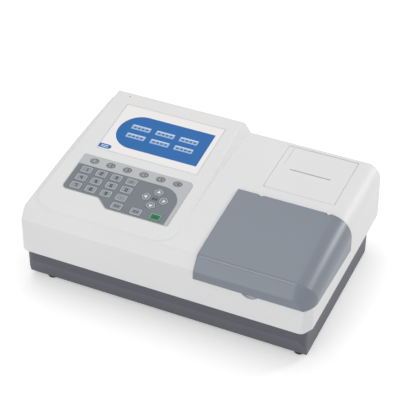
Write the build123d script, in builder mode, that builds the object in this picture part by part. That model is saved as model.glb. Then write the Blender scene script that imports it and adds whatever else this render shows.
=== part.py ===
from build123d import *
import os
from math import atan2, cos, degrees, hypot, radians, sin, tan

os.makedirs("parts", exist_ok=True)

# Microplate reader with a console on the left and a plate lid on the right.
# Millimetres. X runs to the right, Y to the back, Z up from the surface it stands on.

# Body of the upper shell
body_width = 430.0
front_y = -142.0
back_y = 143.0
rim_z = 54.0
side_draft = 1.0
wall = 2.8
corner_round = 12.0
back_corner_round = 8.0
corner_cut_x = 9.0
corner_cut_y = 17.0
corner_cut_round = 10.0
rim_flange = 2.5
rim_lap = 2.0

# Side profile of the body: front face, bevel and the gently bowed deck
crease_back = 4.0
crease_z = 105.0
bevel_y = -125.0
bevel_z = 122.5
deck_mid_z = 133.7
deck_back_y = 125.0
deck_back_z = 138.0
crease_round = 4.0
bevel_round = 6.0
deck_end_round = 6.0
deck_side_round = 28.0
left_side_round = 7.0
form_slack = 0.03
form_span = 240.0

# Raised console
console_tilt = 7.0
console_front_z = 123.9
console_left = -205.0
console_right = 9.0
console_front = -122.5
console_wall_lean = 30.0
console_sunk = 10.0
console_left_round = 32.0
console_right_round = 28.0
console_edge_round = 4.0
console_back_round = 9.0
console_rise_reach = 40.0

# Base tray and feet
foot_height = 6.0
foot_radius = 8.0
foot_recess = 1.5
foot_left = -179.0
foot_right = 196.0
foot_front = -118.0
foot_back = 96.0
base_width = 419.0
base_front = -138.6
base_back = 118.0
base_wall = 2.6
base_floor = 2.6
base_band = 18.0
base_toe = 11.0
base_corner = 12.0

# Screws between the halves
post_radius = 4.5
post_x = 200.0
post_front = -98.0
post_back = 76.0
base_post_radius = 6.0
screw_radius = 2.0
screw_head_radius = 3.6
screw_head_height = 2.4
screw_length = 26.0
screw_grip = 12.0
screw_slack = 0.3

# Running gaps
skin_gap = 0.4
panel_gap = 0.4
key_gap = 0.3
seat_gap = 0.3
shaft_gap = 0.06
pin_gap = 0.1
press_gap = 0.02
edge_step = 0.05

# Display
display_width = 157.5
display_height = 101.3
display_centre_x = -92.6
display_centre_y = 61.0
display_lens = 2.0
display_ledge = 3.0
display_module_depth = 7.0
display_frame_thick = 2.0
display_frame_border = 2.0

# Keypad
keypad_left = -180.3
keypad_right = -9.7
keypad_back = -5.8
keypad_step_y = -78.7
keypad_front = -94.3
keypad_step_left_x = -122.0
keypad_step_right_x = -103.5
keypad_corner = 8.0
overlay_thick = 1.0
overlay_proud = 0.2
overlay_border = 2.2
key_proud = 0.6
key_travel = 0.6
key_depth = 3.2
key_round = 2.0
key_edge = 0.4
key_flange = 0.9
key_flange_top = 1.0
key_flange_thick = 0.8
rect_key_width = 16.2
rect_key_height = 12.0
rect_key_left_x = -162.6
rect_key_pitch_x = 23.5
rect_key_back_y = -35.3
rect_key_pitch_y = 16.4
bottom_key_x = -90.6
bottom_key_pitch = 29.2
bottom_key_y = -84.7
round_key_width = 13.4
round_key_height = 10.4
round_key_left_x = -160.0
round_key_pitch = 25.85
round_key_y = -15.6
arrow_centre_x = -47.8
arrow_centre_y = -53.2
arrow_reach = 13.9
arrow_width = 15.6
arrow_height = 13.4
arrow_nose_round = 2.6
arrow_foot_share = 0.55
arrow_shoulder = 1.0
board_thick = 1.6
dome_height = 0.3
dome_radius = 3.0
board_lip = 3.0
board_lip_inner = 1.5

# Small status hole in the console
status_hole_x = -175.3
status_hole_y = 127.5
status_hole_radius = 1.1

# Plate lid
lid_left = 49.5
lid_back = 11.4
lid_rise = 2.6
lid_front_z = 95.6
lid_side_back_z = 84.5
lid_side_front_z = 92.8
lid_edge_right = 187.0
lid_knuckle_width = 5.0
lid_knuckle_x = (84.0, 182.0)
lid_pin_radius = 0.6
lid_pin_reach = 1.6
lid_notch_reach = 3.5
lid_knuckle_radius = 1.4
lid_opening_left = 75.0
lid_opening_right = 191.0
lid_opening_back = 4.0
lid_opening_z = 100.0
notch_x = 130.0
notch_radius = 14.8
notch_z = 101.0
notch_depth = 4.0
notch_backing = 1.6

# Slip printer
door_left = 77.0
door_right = 182.0
door_front = 32.0
door_back = 133.0
door_thick = 2.8
door_pin_radius = 0.7
door_pin_reach = 2.4
slot_y = 80.8
slot_left = 98.0
slot_right = 158.5
slot_width = 1.8
printer_wall = 2.0
printer_side = 7.0
printer_floor_z = 101.0
printer_flange = 4.0
roller_y = 86.0
roller_z = 122.0
roller_radius = 5.5
roller_shaft_radius = 2.0
printer_back = 128.0
head_front = 73.0
head_back = 77.0
head_top_z = 126.0

# Plate transport
plate_length = 127.76
plate_width = 85.48
plate_play = 0.4
carrier_centre_x = 133.0
carrier_width = 110.0
carrier_length = 132.0
carrier_front = -131.0
carrier_z = 79.5
carrier_height = 6.0
nest_depth = 4.0
nest_ledge = 5.0
rod_radius = 4.0
rod_z = 72.0
rod_spread = 96.0
rod_front = -126.0
rod_back = 108.0
ear_length = 8.0
ear_width = 14.0
ear_top_z = 78.9
clamp_front = -80.0
clamp_length = 12.0
housing_front = -84.0
housing_length = 48.0
bush_length = 12.0
bush_wall = 1.5
liner_left = 72.0
liner_right = 194.0
liner_front = -133.0
liner_back = 6.0
liner_z = 88.0
liner_wall = 2.0
chassis_left = 4.0
chassis_right = 194.0
chassis_front = -128.0
chassis_back = 112.0
chassis_z = 58.0
chassis_thick = 4.0
chassis_post_radius = 5.0
chassis_inset = 9.0

# Belt drive
pulley_x = 71.0
pulley_radius = 5.0
belt_thick = 1.0
belt_width = 6.0
belt_z = 64.5
motor_y = 82.0
idler_y = -117.0
motor_size = 42.0
motor_height = 33.0
motor_shaft_radius = 2.5
idler_pin_radius = 2.0
pulley_flange = 1.0
pulley_flange_reach = 1.5
motor_pilot_radius = 11.0
motor_corner = 5.0
clamp_left = 74.6
clamp_low_z = 63.0
housing_low_z = 65.0

# Optics
read_y = 18.0
bridge_front = 8.0
bridge_back = 28.0
bridge_leg = 5.0
bridge_left = 58.0
bridge_right = 194.0
bridge_beam_z = 100.0
bridge_top_z = 118.0
channel_count = 8
channel_pitch = 9.0
channel_radius = 2.2
beam_z = 109.0
beam_radius = 3.5
wheel_radius = 25.0
wheel_thick = 3.0
wheel_left = 40.0
filter_radius = 4.6
filter_count = 8
filter_circle = 18.0
filter_motor_radius = 13.5
filter_motor_depth = 12.0
filter_shaft_radius = 1.5
wheel_z = 91.0
lamp_left = 8.0
lamp_width = 27.0
lamp_half = 15.0
lamp_top_z = 124.0
lamp_fin_count = 5
lamp_fin_depth = 4.0
lamp_lens_radius = 6.0
lamp_lens_proud = 2.0
detector_top_z = 70.0
detector_front = 10.0
detector_back = 26.0
detector_length = 72.0
detector_well = 4.0

# Electronics and the rear panel
panel_thick = 1.5
panel_left = -178.0
panel_right = 118.0
panel_low_z = 9.0
panel_high_z = 52.0
panel_border = 3.0
board_inset = 6.0
vent_count = 14
vent_pitch = 7.0
vent_width = 3.0
vent_x = -170.0
vent_low_z = 74.0
vent_high_z = 106.0
inlet_x = -150.0
inlet_z = 30.0
inlet_width = 27.2
inlet_depth = 18.0
inlet_flange = 3.0
module_half = 13.0
socket_width = 24.4
socket_height = 16.4
socket_depth = 12.0
blade_width = 2.0
blade_height = 4.0
blade_pitch = 7.0
blade_length = 10.0
rocker_x = -126.0
rocker_width = 12.0
rocker_pivot_y = 116.0
rocker_radius = 10.0
rocker_half = 9.6
rocker_front = 7.0
rocker_rear = -5.0
rocker_swing = 8.0
rocker_pin_radius = 1.0
rocker_pin_reach = 1.5
ports = ((-70.0, 31.0, 12.5), (-36.0, 16.0, 13.5), (-12.0, 12.0, 11.0))
port_z = 26.0
port_depth = 15.0
port_wall = 1.2
port_cavity = 9.0
port_proud = 0.8
fan_x = 90.0
fan_z = 31.0
fan_size = 40.0
fan_front = 105.2
fan_back = 115.2
fan_bore_radius = 18.5
fan_blade_radius = 17.6
fan_hub_radius = 8.0
fan_pin_radius = 1.5
fan_blades = 7
fan_blade_pitch = 32.0
fan_strut = 2.0
grille_radius = 18.0
grille_pitch = 5.0
grille_bar = 1.6
main_board_left = -186.0
main_board_right = -24.0
main_board_front = -108.0
main_board_back = 48.0
main_board_z = 20.0
supply_left = -192.0
supply_right = -96.0
supply_front = 56.0
supply_back = 96.0
supply_height = 34.0
supply_slots = 9
supply_slot_pitch = 8.0
supply_slot_width = 3.0
board_post_radius = 3.5
board_hole_radius = 1.6
board_parts = (
    (-120.0, -40.0, 28.0, 28.0, 3.0),
    (-80.0, -40.0, 14.0, 20.0, 2.0),
    (-80.0, -70.0, 14.0, 20.0, 2.0),
    (-150.0, 20.0, 30.0, 9.0, 9.0),
    (-100.0, 30.0, 40.0, 9.0, 9.0),
    (-40.0, -20.0, 9.0, 40.0, 9.0),
)
board_cans = ((-165.0, -60.0, 6.0, 14.0), (-165.0, -76.0, 6.0, 14.0), (-165.0, -92.0, 6.0, 14.0))

# Values worked out from the sizes above
half_width = body_width / 2
draft = tan(radians(side_draft))
slope = tan(radians(console_tilt))
top_z = console_front_z + (back_y - console_front) * slope + wall
form_height = 125.0
floor_z = foot_height + base_floor


def circle_through(p, q, r):
    """Centre and radius of the circle through three points."""
    ax, ay = q[0] - p[0], q[1] - p[1]
    bx, by = r[0] - p[0], r[1] - p[1]
    d = 2 * (ax * by - ay * bx)
    ux = (by * (ax * ax + ay * ay) - ay * (bx * bx + by * by)) / d
    uy = (ax * (bx * bx + by * by) - bx * (ax * ax + ay * ay)) / d
    return p[0] + ux, p[1] + uy, hypot(ux, uy)


bow_y, bow_z, bow_radius = circle_through(
    (bevel_y, bevel_z), (0.0, deck_mid_z), (deck_back_y, deck_back_z)
)


def deck_z(y):
    """Height of the deck's outer face at y."""
    return bow_z + (bow_radius**2 - (y - bow_y) ** 2) ** 0.5


def deck_slope(y):
    """Slope angle of the deck at y, in degrees."""
    return degrees(atan2(bow_y - y, deck_z(y) - bow_z))


def console_z(y):
    """Height of the console's face at y."""
    return console_front_z + (y - bevel_y) * slope


def console_plane(x, y, lift=0.0):
    """Plane lying on the console's face at x, y and lifted along its normal."""
    tilt = radians(console_tilt)
    normal = Vector(0, -sin(tilt), cos(tilt))
    return Plane(Vector(x, y, console_z(y)) + normal * lift, x_dir=(1, 0, 0), z_dir=normal)


def block(x0, x1, y0, y1, z0, z1, mode=Mode.ADD):
    """Box between two corners, in the part being built."""
    with Locations(((x0 + x1) / 2, (y0 + y1) / 2, (z0 + z1) / 2)):
        Box(x1 - x0, y1 - y0, z1 - z0, mode=mode)


def rod_along(axis, centre, radius, length, mode=Mode.ADD):
    """Cylinder centred on a point, along X, Y or Z."""
    turn = {"X": (0, 90, 0), "Y": (90, 0, 0), "Z": (0, 0, 0)}[axis]
    with Locations(Location(centre, turn)):
        Cylinder(radius, length, mode=mode)


def finish(builder, name):
    """Label a finished piece and write it."""
    builder.part.label = name
    export_step(builder.part, f"parts/{name}.step")


def body_plan(inset):
    """Outline of the body from above, with the cut front right corner."""
    cut_x = half_width - corner_cut_x
    cut_y = front_y + corner_cut_y
    with BuildSketch(mode=Mode.PRIVATE) as plan:
        with BuildLine():
            FilletPolyline(
                (-half_width, front_y),
                (cut_x, front_y),
                (half_width, cut_y),
                (half_width, back_y),
                (-half_width, back_y),
                radius=[corner_round] + 2 * [corner_cut_round] + 2 * [back_corner_round],
                close=True,
            )
        make_face()
        if inset:
            offset(amount=-inset)
    return plan.sketch


def body_profile(inset):
    """Side profile of the body, from the front face over the bevel to the deck's end."""
    with BuildSketch(mode=Mode.PRIVATE) as profile:
        with BuildLine() as outline:
            lean = crease_back / (crease_z - rim_z)
            Polyline(
                (bevel_y, bevel_z),
                (front_y + crease_back, crease_z),
                (front_y - lean * rim_z, 0),
                (back_y, 0),
                (back_y, deck_z(back_y)),
            )
            ThreePointArc((back_y, deck_z(back_y)), (0, deck_mid_z), (bevel_y, bevel_z))
        make_face()
        corners = profile.vertices()
        fillet(corners.sort_by_distance((bevel_y, bevel_z))[0], bevel_round)
        corners = profile.vertices()
        fillet(corners.sort_by_distance((front_y + crease_back, crease_z))[0], crease_round)
        corners = profile.vertices()
        fillet(corners.sort_by_distance((back_y, deck_z(back_y)))[0], deck_end_round)
        if inset:
            offset(amount=-inset)
    return profile.sketch


def cross_section(inset, top, low, left_round, right_round):
    """Section across the body: leaning sides and two rounded upper edges."""
    x_top = half_width - (top - rim_z) * draft
    x_low = half_width - (low - rim_z) * draft
    with BuildSketch(mode=Mode.PRIVATE) as section:
        with BuildLine():
            Polyline((-x_low, low), (x_low, low), (x_top, top), (-x_top, top), close=True)
        make_face()
        fillet(section.vertices().sort_by_distance((x_top, top))[0], right_round)
        fillet(section.vertices().sort_by_distance((-x_top, top))[0], left_round)
        if inset - form_slack:
            offset(amount=form_slack - inset)
    return section.sketch


def body_form(inset=0.0):
    """Solid form of the body; inset moves every face inwards, or outwards if negative."""
    deck_top = bow_z + bow_radius
    bow_back = degrees(atan2(back_y - bow_y + 4 * wall, bow_radius))
    bow_front = degrees(atan2(bow_y - front_y + 4 * wall, bow_radius))
    bow_turn = radians(bow_back)
    bow_plane = Plane(
        (0, bow_y, bow_z), x_dir=(1, 0, 0), z_dir=(0, -cos(bow_turn), sin(bow_turn))
    )
    bevel_angle = atan2(bevel_z - crease_z, bevel_y - front_y - crease_back)
    along = Vector(0, cos(bevel_angle), sin(bevel_angle))
    bevel_plane = Plane((0, bevel_y, bevel_z), x_dir=(1, 0, 0), z_dir=-along)
    bevel_top = (bevel_z + crease_z) / 2
    with BuildPart() as form:
        with BuildSketch(Plane.XY.offset(rim_z)):
            add(body_plan(inset))
        extrude(amount=form_height, taper=side_draft)
        with BuildSketch(Plane.YZ.offset(-form_span)):
            add(body_profile(inset))
        extrude(amount=2 * form_span, mode=Mode.INTERSECT)
        with BuildSketch(bow_plane):
            section = cross_section(inset, deck_top, 0.0, left_side_round, deck_side_round)
            add(section.moved(Location((0, -bow_z, 0))))
        revolve(
            axis=Axis((0, bow_y, bow_z), (1, 0, 0)),
            revolution_arc=bow_back + bow_front,
            mode=Mode.INTERSECT,
        )
        with BuildSketch(bevel_plane):
            bevel_low = -2.0 * crease_z
            section = cross_section(inset, bevel_top, bevel_low, left_side_round, deck_side_round)
            add(section.moved(Location((0, -bevel_top, 0))))
        extrude(amount=2 * body_width, both=True, mode=Mode.INTERSECT)
    return form.part


def console_back_profile(inset):
    """Side profile that ends the console at the body's back face, with a rounded edge."""
    drop = inset / cos(radians(console_tilt))
    at_zero = console_z(0) - drop
    corner_y = (back_y - inset - (at_zero - rim_z) * draft) / (1 + slope * draft)
    far_front = front_y - form_height
    with BuildSketch(mode=Mode.PRIVATE) as profile:
        with BuildLine():
            Polyline(
                (far_front, 0),
                (back_y - inset + rim_z * draft, 0),
                (corner_y, at_zero + corner_y * slope),
                (far_front, at_zero + far_front * slope),
                close=True,
            )
        make_face()
        corners = profile.vertices()
        back_corner = corners.sort_by_distance((corner_y, at_zero + corner_y * slope))[0]
        fillet(back_corner, console_back_round - inset)
    return profile.sketch


def console_form(inset=0.0):
    """Raised console: a wedge with leaning walls and rounded corners."""
    rise = radians(deck_slope(0))
    tangent = Plane((0, 0, deck_mid_z), x_dir=(1, 0, 0), z_dir=(0, -sin(rise), cos(rise)))
    lean = radians(console_wall_lean)
    grow = console_sunk * tan(lean) - inset / cos(lean)
    left = console_left - grow
    right = console_right + grow
    front = console_front - grow
    back = back_y + console_rise_reach
    console_up = Axis((0, 0, 0), tuple(console_plane(0, 0).z_dir))
    with BuildPart() as form:
        with BuildSketch(tangent.offset(-console_sunk)):
            with BuildLine():
                FilletPolyline(
                    (left, back),
                    (left, front),
                    (right, front),
                    (right, back),
                    radius=[console_left_round + grow, console_right_round + grow],
                )
                Line((right, back), (left, back))
            make_face()
        extrude(amount=console_sunk + console_rise_reach, taper=console_wall_lean)
        split(bisect_by=console_plane(0, 0, -inset), keep=Keep.BOTTOM)
        if inset < console_edge_round:
            fillet(form.faces().sort_by(console_up)[-1].edges(), console_edge_round - inset)
        with BuildSketch(Plane.YZ.offset(-form_span)):
            add(console_back_profile(inset))
        extrude(amount=2 * form_span, mode=Mode.INTERSECT)
    return form.part


def on_console(y):
    """Distance along the console's face from y = 0."""
    return y / cos(radians(console_tilt))


def keypad_outline(inset):
    """Outline of the keypad, stepped at its front left."""
    with BuildSketch(mode=Mode.PRIVATE) as outline:
        with BuildLine():
            FilletPolyline(
                (keypad_left, on_console(keypad_back)),
                (keypad_right, on_console(keypad_back)),
                (keypad_right, on_console(keypad_front)),
                (keypad_step_right_x, on_console(keypad_front)),
                (keypad_step_left_x, on_console(keypad_step_y)),
                (keypad_left, on_console(keypad_step_y)),
                radius=[key_round, keypad_corner, key_round] + 3 * [keypad_corner],
                close=True,
            )
        make_face()
        if inset:
            offset(amount=-inset)
    return outline.sketch


def rect_key(grow):
    """Outline of a rectangular key."""
    with BuildSketch(mode=Mode.PRIVATE) as outline:
        RectangleRounded(rect_key_width + 2 * grow, rect_key_height + 2 * grow, key_round + grow)
    return outline.sketch


def round_key(grow):
    """Outline of an oval function key."""
    with BuildSketch(mode=Mode.PRIVATE) as outline:
        Ellipse(round_key_width / 2 + grow, round_key_height / 2 + grow)
    return outline.sketch


def arrow_key(grow):
    """Outline of an arrow key that points along +Y."""
    half = arrow_width / 2
    tip = arrow_height / 2
    foot = half * arrow_foot_share
    with BuildSketch(mode=Mode.PRIVATE) as outline:
        with BuildLine():
            Polyline(
                (0, tip), (half, arrow_shoulder), (foot, -tip),
                (-foot, -tip), (-half, arrow_shoulder), close=True,
            )
        make_face()
        fillet(outline.vertices(), arrow_nose_round)
        if grow:
            offset(amount=grow)
    return outline.sketch


def key_places():
    """Every key: its name, outline function and place on the console's face."""
    places = []
    for column in range(6):
        x = round_key_left_x + column * round_key_pitch
        places.append((f"function_key_{column + 1}", round_key, x, round_key_y, 0))
    block_names = ("1", "2", "3", "clear", "4", "5", "6", "0", "7", "8", "9", "point")
    for index, name in enumerate(block_names):
        x = rect_key_left_x + (index % 4) * rect_key_pitch_x
        y = rect_key_back_y - (index // 4) * rect_key_pitch_y
        places.append((f"key_{name}", rect_key, x, y, 0))
    for column, name in enumerate(("menu", "back", "start")):
        places.append((f"key_{name}", rect_key, bottom_key_x + column * bottom_key_pitch, bottom_key_y, 0))
    for quarter, name in enumerate(("up", "left", "down", "right")):
        turn = radians(90 * quarter)
        x = arrow_centre_x - arrow_reach * sin(turn)
        y = arrow_centre_y + arrow_reach * cos(turn)
        places.append((f"key_{name}", arrow_key, x, y, 90 * quarter))
    return places


def key_sketch(outline, x, y, turn, grow):
    """A key's outline at its place in the console's plane."""
    return outline(grow).moved(Location((x, on_console(y), 0), (0, 0, turn)))


lid_pivot_y = lid_back - (lid_rise - skin_gap) / 2
lid_pivot_z = deck_z(lid_pivot_y) + (lid_rise + skin_gap) / 2
lid_edge_radius = (lid_rise - skin_gap) / 2 - edge_step
door_edge_radius = door_thick / 2 - edge_step
door_pivot_y = door_back - panel_gap - door_edge_radius
door_pivot_z = deck_z(door_pivot_y) - door_thick / 2
rod_x = (carrier_centre_x - rod_spread / 2, carrier_centre_x + rod_spread / 2)
post_places = [(sx * post_x, y) for sx in (-1, 1) for y in (post_front, post_back)]
chassis_posts = [
    (x, y)
    for x in (chassis_left + chassis_inset, chassis_right - 2 * chassis_inset)
    for y in (chassis_front + chassis_inset, chassis_back - chassis_inset)
]
board_posts = [
    (x, y)
    for x in (main_board_left + board_inset, main_board_right - board_inset)
    for y in (main_board_front + board_inset, main_board_back - board_inset)
]
belt_inner = pulley_radius + pin_gap
belt_outer = belt_inner + belt_thick
chassis_top = chassis_z + chassis_thick

# Upper shell: skin, rim flange, screw posts, openings, hinge knuckles and finger notch
with BuildPart() as shell_posts:
    for x, y in post_places:
        rod_along("Z", (x, y, rim_z + form_height / 2), post_radius, form_height)
    add(body_form(wall / 2), mode=Mode.INTERSECT)

notch_face = front_y + crease_back * (lid_front_z - rim_z) / (crease_z - rim_z)
notch_reach = notch_radius + notch_backing
with BuildPart() as notch_boss:
    block(
        notch_x - notch_reach, notch_x + notch_reach, front_y - wall,
        notch_face + notch_depth + notch_backing, notch_z - notch_reach, lid_opening_z,
    )
    add(body_form(wall / 2), mode=Mode.INTERSECT)

with BuildPart() as top_shell:
    add(body_form())
    add(console_form())
    add(body_form(wall), mode=Mode.SUBTRACT)
    add(console_form(wall), mode=Mode.SUBTRACT)
    with BuildSketch(Plane.XY.offset(rim_z)):
        add(body_plan(wall / 2))
        with Locations((0, (base_front + base_back) / 2)):
            Rectangle(
                base_width - 2 * base_wall - 2 * rim_lap,
                base_back - base_front - 2 * base_wall - 2 * rim_lap,
                mode=Mode.SUBTRACT,
            )
    extrude(amount=rim_flange)
    add(shell_posts.part)
    add(notch_boss.part)
    for x, y in post_places:
        rod_along("Z", (x, y, rim_z), screw_radius + shaft_gap, 2 * screw_grip + wall, mode=Mode.SUBTRACT)
    rod_along("Y", (notch_x, notch_face, notch_z), notch_radius, 2 * notch_depth, mode=Mode.SUBTRACT)
    block(
        lid_opening_left, lid_opening_right, front_y - wall, lid_opening_back,
        lid_opening_z, top_z, mode=Mode.SUBTRACT,
    )
    block(door_left, door_right, door_front, door_back, lid_opening_z, top_z, mode=Mode.SUBTRACT)
    for side, x in ((-1, door_left), (1, door_right)):
        reach = door_pin_reach + panel_gap
        place = (x + side * reach / 2, door_pivot_y, door_pivot_z)
        rod_along("X", place, door_pin_radius + pin_gap, reach + panel_gap, mode=Mode.SUBTRACT)
    for x in lid_knuckle_x:
        block(
            x - lid_knuckle_width / 2, x + lid_knuckle_width / 2,
            lid_pivot_y - lid_knuckle_radius, lid_pivot_y + lid_knuckle_radius,
            deck_z(lid_pivot_y) - wall / 2, lid_pivot_z,
        )
        rod_along("X", (x, lid_pivot_y, lid_pivot_z), lid_knuckle_radius, lid_knuckle_width)
        rod_along(
            "X", (x, lid_pivot_y, lid_pivot_z), lid_pin_radius + pin_gap,
            lid_knuckle_width + wall, mode=Mode.SUBTRACT,
        )
    with BuildSketch(console_plane(display_centre_x, display_centre_y)):
        Rectangle(display_width + 2 * seat_gap, display_height + 2 * seat_gap)
    extrude(amount=-display_lens, mode=Mode.SUBTRACT)
    with BuildSketch(console_plane(display_centre_x, display_centre_y)):
        Rectangle(display_width - 2 * display_ledge, display_height - 2 * display_ledge)
    extrude(amount=-2 * wall, mode=Mode.SUBTRACT)
    with BuildSketch(console_plane(0, 0)):
        add(keypad_outline(-seat_gap))
    extrude(amount=overlay_proud - overlay_thick, mode=Mode.SUBTRACT)
    with BuildSketch(console_plane(0, 0)):
        add(keypad_outline(overlay_border))
    extrude(amount=-2 * wall, mode=Mode.SUBTRACT)
    with BuildSketch(console_plane(status_hole_x, status_hole_y)):
        Circle(status_hole_radius)
    extrude(amount=-2 * wall, mode=Mode.SUBTRACT)
    for column in range(vent_count):
        x = vent_x + column * vent_pitch
        block(
            x - vent_width / 2, x + vent_width / 2, back_y - 2 * wall, back_y + wall,
            vent_low_z, vent_high_z, mode=Mode.SUBTRACT,
        )
finish(top_shell, "top_shell")


# Base tray: toe at the front, screw towers, supports and the opening for the rear panel
def base_form(inset=0.0):
    """Solid form of the base tray, drawn in by inset."""
    front = base_front + inset
    back = base_back - inset
    low = foot_height + inset
    with BuildPart() as form:
        with BuildSketch(Plane.XY.offset(low)):
            with Locations((0, (front + back) / 2)):
                RectangleRounded(base_width - 2 * inset, back - front, base_corner - inset)
        extrude(amount=rim_z - low)
        with BuildSketch(Plane.YZ.offset(-half_width)):
            with BuildLine():
                Polyline(
                    (front, rim_z), (front, rim_z - base_band), (front + base_toe, low),
                    (back, low), (back, rim_z), close=True,
                )
            make_face()
        extrude(amount=body_width, mode=Mode.INTERSECT)
    return form.part


foot_places = [(x, y) for x in (foot_left, foot_right) for y in (foot_front, foot_back)]
screw_head_z = rim_z + screw_grip - screw_length
panel_out = base_back + panel_thick

with BuildPart() as base_tray:
    add(base_form())
    add(base_form(base_wall), mode=Mode.SUBTRACT)
    for x, y in post_places:
        rod_along("Z", (x, y, (foot_height + rim_z) / 2), base_post_radius, rim_z - foot_height)
    for x, y in chassis_posts:
        rod_along("Z", (x, y, (foot_height + chassis_z) / 2), chassis_post_radius, chassis_z - foot_height)
    for x, y in board_posts:
        post_z = (foot_height + main_board_z) / 2
        rod_along("Z", (x, y, post_z), board_post_radius, main_board_z - foot_height)
    for x, y in post_places:
        rod_along("Z", (x, y, rim_z), screw_radius + screw_slack, 2 * rim_z, mode=Mode.SUBTRACT)
        head_bore = screw_head_radius + screw_slack
        rod_along("Z", (x, y, screw_head_z / 2), head_bore, screw_head_z, mode=Mode.SUBTRACT)
    for x, y in foot_places:
        rod_along("Z", (x, y, foot_height), foot_radius + press_gap, 2 * foot_recess, mode=Mode.SUBTRACT)
    block(
        panel_left + panel_border, panel_right - panel_border, base_back - 2 * base_wall, panel_out,
        panel_low_z + panel_border, panel_high_z - panel_border, mode=Mode.SUBTRACT,
    )
finish(base_tray, "base_tray")

with BuildPart() as rubber_feet:
    for x, y in foot_places:
        rod_along("Z", (x, y, (foot_height + foot_recess) / 2), foot_radius, foot_height + foot_recess)
    fillet(rubber_feet.faces().filter_by(Axis.Z).group_by(Axis.Z)[0].edges(), foot_recess)
finish(rubber_feet, "rubber_feet")

with BuildPart() as case_screws:
    for x, y in post_places:
        rod_along("Z", (x, y, screw_head_z + screw_length / 2), screw_radius, screw_length)
        rod_along("Z", (x, y, screw_head_z - screw_head_height / 2), screw_head_radius, screw_head_height)
        with BuildSketch(Plane((x, y, screw_head_z - screw_head_height))):
            RegularPolygon(screw_radius, 6)
        extrude(amount=screw_head_height / 2, mode=Mode.SUBTRACT)
finish(case_screws, "case_screws")

# Rear panel with its inlet and switch, ports and fan
module_left = inlet_x - inlet_width / 2 - inlet_flange
module_right = rocker_x + rocker_width / 2 + inlet_flange

with BuildPart() as rear_panel:
    block(panel_left, panel_right, base_back, panel_out, panel_low_z, panel_high_z)
    block(
        module_left - seat_gap, module_right + seat_gap, base_back - panel_thick, panel_out + panel_thick,
        inlet_z - module_half - seat_gap, inlet_z + module_half + seat_gap, mode=Mode.SUBTRACT,
    )
    for x, width, height in ports:
        block(
            x - width / 2 - seat_gap, x + width / 2 + seat_gap,
            base_back - panel_thick, panel_out + panel_thick,
            port_z - height / 2 - seat_gap, port_z + height / 2 + seat_gap, mode=Mode.SUBTRACT,
        )
    with BuildSketch(Plane((fan_x, base_back, fan_z), x_dir=(1, 0, 0), z_dir=(0, 1, 0))):
        Circle(grille_radius)
        with GridLocations(grille_pitch, 0, 7, 1):
            Rectangle(grille_bar, 2 * grille_radius, mode=Mode.SUBTRACT)
    extrude(amount=panel_thick, mode=Mode.SUBTRACT)
finish(rear_panel, "rear_panel")

with BuildPart() as power_inlet:
    block(
        module_left, module_right, base_back - inlet_depth, panel_out + panel_thick,
        inlet_z - module_half, inlet_z + module_half,
    )
    block(
        module_left - inlet_flange, module_right + inlet_flange, panel_out, panel_out + panel_thick,
        inlet_z - module_half - inlet_flange, inlet_z + module_half + inlet_flange,
    )
    block(
        inlet_x - socket_width / 2, inlet_x + socket_width / 2,
        panel_out - socket_depth, panel_out + inlet_depth,
        inlet_z - socket_height / 2, inlet_z + socket_height / 2, mode=Mode.SUBTRACT,
    )
    for column, rise in ((-1, -1), (0, 1), (1, -1)):
        x = inlet_x + column * blade_pitch
        z = inlet_z + rise * blade_width
        block(
            x - blade_width / 2, x + blade_width / 2,
            panel_out - socket_depth, panel_out - socket_depth + blade_length,
            z - blade_height / 2, z + blade_height / 2,
        )
    block(
        rocker_x - rocker_width / 2 - key_gap, rocker_x + rocker_width / 2 + key_gap,
        rocker_pivot_y - rocker_radius - key_gap, panel_out + inlet_depth,
        inlet_z - rocker_radius - key_gap, inlet_z + rocker_radius + key_gap, mode=Mode.SUBTRACT,
    )
    rod_along(
        "X", (rocker_x, rocker_pivot_y, inlet_z), rocker_pin_radius + pin_gap,
        rocker_width + 2 * (rocker_pin_reach + key_gap), mode=Mode.SUBTRACT,
    )
finish(power_inlet, "power_inlet")

with BuildPart() as power_rocker:
    lean = radians(rocker_swing)
    rocker_plane = Plane(
        (rocker_x, rocker_pivot_y, inlet_z), x_dir=(0, cos(lean), sin(lean)), z_dir=(1, 0, 0)
    )
    with BuildSketch(rocker_plane):
        Circle(rocker_radius)
        with Locations(((rocker_front + rocker_rear) / 2, 0)):
            Rectangle(rocker_front - rocker_rear, 2 * rocker_half, mode=Mode.INTERSECT)
    extrude(amount=rocker_width / 2, both=True)
    pin_span = rocker_width + 2 * rocker_pin_reach
    rod_along("X", (rocker_x, rocker_pivot_y, inlet_z), rocker_pin_radius, pin_span)
finish(power_rocker, "power_rocker")

with BuildPart() as data_ports:
    for x, width, height in ports:
        block(
            x - width / 2, x + width / 2, base_back - port_depth, panel_out + port_proud,
            port_z - height / 2, port_z + height / 2,
        )
        block(
            x - width / 2 + port_wall, x + width / 2 - port_wall,
            panel_out - port_cavity, panel_out + port_depth,
            port_z - height / 2 + port_wall, port_z + height / 2 - port_wall, mode=Mode.SUBTRACT,
        )
finish(data_ports, "data_ports")

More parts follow.
